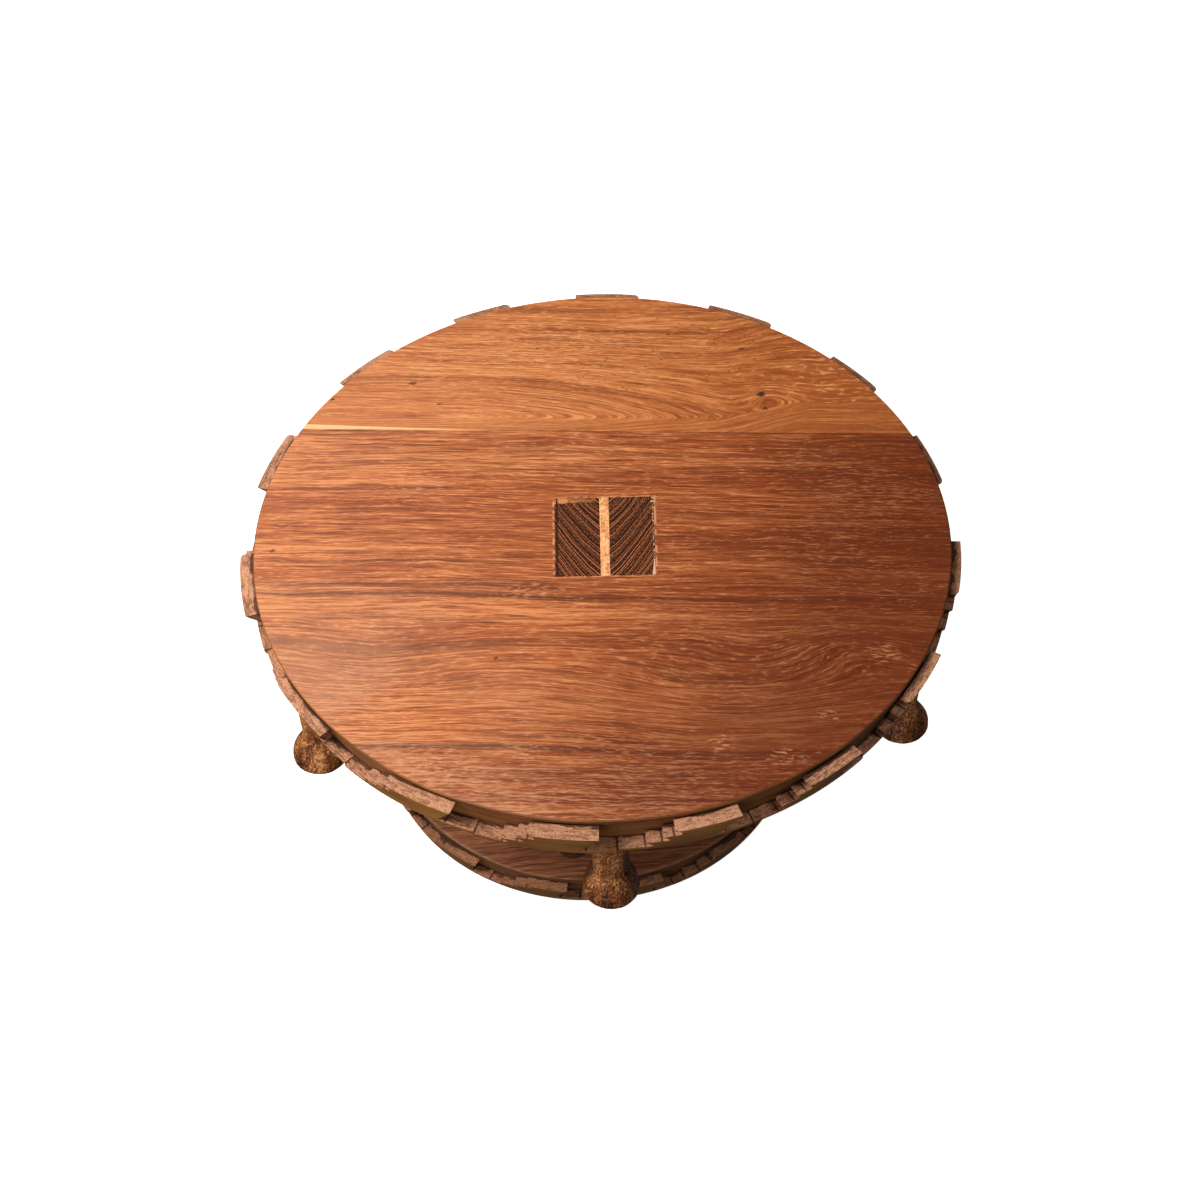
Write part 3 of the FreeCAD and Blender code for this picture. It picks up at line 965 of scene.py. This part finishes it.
class Wedges(Operator):
    """Finish the two wedges and the hidden dowels"""

    bl_idname = "drinks_table.wedges"
    bl_label = "Wedges and dowels"

    def execute(self, context):
        look = context.scene.drinks_table_wedge
        dress(["top_wedge", "base_wedge"], wedge_finish(look))
        dress(["top_board_dowels", "base_board_dowels"], dowel_finish(look))
        return {"FINISHED"}


def shape_pendant(piece, share, stretch):
    """Narrow a pendant above its bell and draw it out below the board, as each was carved by hand."""
    bell_height = 0.016
    neck_rise = 0.022
    points = piece.data.vertices
    low = min(p.co.z for p in points)
    high = max(p.co.z for p in points)
    middle_x = (min(p.co.x for p in points) + max(p.co.x for p in points)) / 2
    middle_y = (min(p.co.y for p in points) + max(p.co.y for p in points)) / 2
    for point in points:
        climb = min(max((point.co.z - low - bell_height) / neck_rise, 0.0), 1.0)
        keep = 1.0 + (share - 1.0) * climb * climb * (3.0 - 2.0 * climb)
        point.co.x = middle_x + (point.co.x - middle_x) * keep
        point.co.y = middle_y + (point.co.y - middle_y) * keep
        point.co.z = high + (point.co.z - high) * stretch


class Pendants(Operator):
    """Finish the six pendants that hang below the table top"""

    bl_idname = "drinks_table.pendants"
    bl_label = "Pendants"

    def execute(self, context):
        mark_size = 0.011
        mesh_step = 0.0015
        look = context.scene.drinks_table_pendant
        material = pendant_finish(look)
        marks = bpy.data.textures.new("pendant_tool_marks", "CLOUDS")
        marks.noise_scale = mark_size
        marks.noise_depth = 2
        # For each pendant, the share of its width that its neck keeps, and its stretch.
        shapes = [(0.84, 1.02), (0.88, 1.0), (0.86, 1.03), (0.84, 1.0), (1.0, 1.05), (0.76, 1.0)]
        for node, (neck, stretch) in zip(nodes_like("pendant"), shapes):
            piece = copy_of(node)
            piece.data.remesh_voxel_size = mesh_step
            bpy.ops.object.voxel_remesh()
            shape_pendant(piece, neck, stretch)
            shaping = piece.modifiers.new("tool_marks", "DISPLACE")
            shaping.texture = marks
            shaping.texture_coords = "LOCAL"
            shaping.strength = look.roughness
            bpy.ops.object.modifier_apply(modifier=shaping.name)
            bpy.ops.object.shade_smooth()
            settle(piece, material)
        return {"FINISHED"}


class Feet(Operator):
    """Finish the six turned feet under the lower shelf"""

    bl_idname = "drinks_table.feet"
    bl_label = "Feet"

    def execute(self, context):
        look = context.scene.drinks_table_pendant
        material = foot_finish(look)
        for node in nodes_like("foot"):
            piece = copy_of(node)
            round_edges(piece, board_round)
            bpy.ops.object.shade_smooth_by_angle(angle=turned_smooth_angle)
            settle(piece, material)
        return {"FINISHED"}


def floor_finish(look):
    """Floor: pale and even, with a faint mottle."""
    finish = Finish("pale_floor")
    x, y, z = finish.place()
    mottle = finish.noise(x * 3, y * 3, z, detail=2)
    soft = [part * 0.97 for part in look.floor]
    finish.shade("Base Color", finish.mix(mottle, soft, look.floor))
    finish.shade("Roughness", mottle * 0.1 + 0.7)
    finish.shade("Emission Color", look.floor)
    finish.shade("Emission Strength", look.floor_glow)
    return finish.material


def add_light(name, place, aim, width, power):
    """Add a soft square light at a place, turned towards a point."""
    bpy.ops.object.light_add(type="AREA", location=place)
    light = bpy.context.object
    light.name = name
    light.data.size = width
    light.data.energy = power
    light.rotation_euler = (Vector(aim) - Vector(place)).to_track_quat("-Z", "Y").to_euler()


class Stage(Operator):
    """Add the floor, the lights, the even light from all around and the camera"""

    bl_idname = "drinks_table.stage"
    bl_label = "Stage"

    def execute(self, context):
        look = context.scene.drinks_table_stage
        bpy.ops.object.select_all(action="DESELECT")
        bpy.ops.mesh.primitive_plane_add(size=floor_size, location=(0, 0, 0))
        floor = bpy.context.object
        floor.name = "floor"
        floor.data.materials.append(floor_finish(look))
        floor.visible_diffuse = False
        floor.visible_glossy = False
        add_light("key_light", (-1.05, -0.50, 1.45), (-0.10, 0.0, 0.30), 0.6, look.key_power)
        add_light("back_light", (-0.60, 0.90, 1.15), (-0.15, 0.0, 0.30), 0.7, look.back_power)
        add_light("fill_light", (-0.90, -1.50, 0.60), (0.0, -0.20, 0.20), 1.0, look.fill_power)
        add_light("side_light", (1.00, -0.35, 1.55), (0.10, -0.10, 0.25), 0.6, look.side_power)
        world = bpy.data.worlds.new("even_light")
        world.use_nodes = True
        background = world.node_tree.nodes["Background"]
        background.inputs["Color"].default_value = (1.0, 1.0, 1.0, 1.0)
        background.inputs["Strength"].default_value = look.sky
        context.scene.world = world
        context.scene.view_settings.view_transform = "Standard"
        self.add_camera(context, look)
        return {"FINISHED"}

    def add_camera(self, context, look):
        """Add the camera at its distance and elevation, then turn, tilt and roll it."""
        level = math.cos(look.elevation)
        rise = math.sin(look.elevation)
        forward = Vector((0, level, -rise))
        right = Vector((1, 0, 0))
        up = right.cross(forward)
        place = Vector((0, 0, top_surface)) - forward * look.distance
        forward, right = self.swing(forward, right, look.turn)
        forward, up = self.swing(forward, up, look.tilt)
        right, up = self.swing(right, up, look.roll)
        bpy.ops.object.camera_add()
        camera = bpy.context.object
        camera.name = "photo_camera"
        camera.data.sensor_width = 36
        camera.data.lens = look.lens
        turned = Matrix((right, up, -forward)).transposed().to_4x4()
        camera.matrix_world = Matrix.Translation(place) @ turned
        context.scene.camera = camera

    def swing(self, first, second, turn):
        """Turn two directions that stand square to each other, the first towards the second."""
        level = math.cos(turn)
        rise = math.sin(turn)
        return first * level + second * rise, second * level - first * rise


class PiecesPanel(Panel):
    """Lists the pieces of the table with the sizes and colours that can be changed"""

    bl_idname = "DRINKS_TABLE_PT_pieces"
    bl_label = "Drinks table"
    bl_space_type = "VIEW_3D"
    bl_region_type = "UI"
    bl_category = "Drinks table"

    def draw(self, context):
        for operator, names in piece_list:
            box = self.layout.box()
            box.operator(operator.bl_idname)
            for name in names:
                look = getattr(context.scene, name)
                for setting in look.__annotations__:
                    box.prop(look, setting)


looks = {
    "drinks_table_front": FrontBoardLook,
    "drinks_table_back": BackBoardLook,
    "drinks_table_base": BaseBoardLook,
    "drinks_table_rim": RimLook,
    "drinks_table_post": PostLook,
    "drinks_table_wedge": WedgeLook,
    "drinks_table_pendant": PendantLook,
    "drinks_table_stage": StageLook,
}

piece_list = [
    (TopBoards, ["drinks_table_front", "drinks_table_back"]),
    (BaseBoards, ["drinks_table_base"]),
    (TopRim, ["drinks_table_rim"]),
    (BaseRim, []),
    (Post, ["drinks_table_post"]),
    (Wedges, ["drinks_table_wedge"]),
    (Pendants, ["drinks_table_pendant"]),
    (Feet, []),
    (Stage, ["drinks_table_stage"]),
]


def register():
    for name, group in looks.items():
        bpy.utils.register_class(group)
        setattr(bpy.types.Scene, name, PointerProperty(type=group))
    for operator, names in piece_list:
        bpy.utils.register_class(operator)
    bpy.utils.register_class(PiecesPanel)


def unregister():
    bpy.utils.unregister_class(PiecesPanel)
    for operator, names in reversed(piece_list):
        bpy.utils.unregister_class(operator)
    for name, group in looks.items():
        delattr(bpy.types.Scene, name)
        bpy.utils.unregister_class(group)


def main():
    register()
    bpy.ops.drinks_table.top_boards()
    bpy.ops.drinks_table.base_boards()
    bpy.ops.drinks_table.top_rim()
    bpy.ops.drinks_table.base_rim()
    bpy.ops.drinks_table.post()
    bpy.ops.drinks_table.wedges()
    bpy.ops.drinks_table.pendants()
    bpy.ops.drinks_table.feet()
    bpy.ops.drinks_table.stage()
    bpy.context.view_layer.update()


if __name__ == "__main__":
    main()
